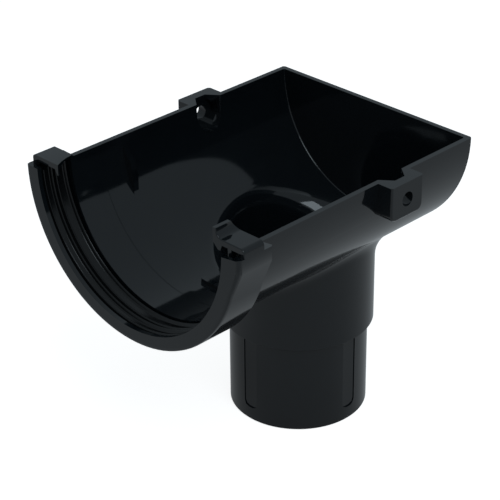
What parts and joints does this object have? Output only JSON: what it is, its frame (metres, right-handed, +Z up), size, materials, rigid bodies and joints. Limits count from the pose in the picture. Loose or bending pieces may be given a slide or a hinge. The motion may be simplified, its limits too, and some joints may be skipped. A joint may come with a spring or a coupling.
{
  "type": "half-round gutter stop-end outlet",
  "caption": "Half-round gutter stop-end outlet: a trough with a closed end, a sealed clip socket at the other, two fixing lugs and a round spigot that drops into a downpipe.",
  "frame": {"origin": "middle of the spigot's lower end, on which the part can stand", "axes": "+Z up along the outlet's axis, +X along the gutter towards the closed end, +Y towards the fascia, so that the front of the gutter is at -Y"},
  "size_m": [0.1492, 0.1273, 0.1419],
  "materials": {
    "black_pvc": "gloss",
    "seal_rubber": "satin"
  },
  "bodies": {
    "root": {"outlet_body": "black_pvc", "socket_seal": "seal_rubber"}
  },
  "joints": []
}
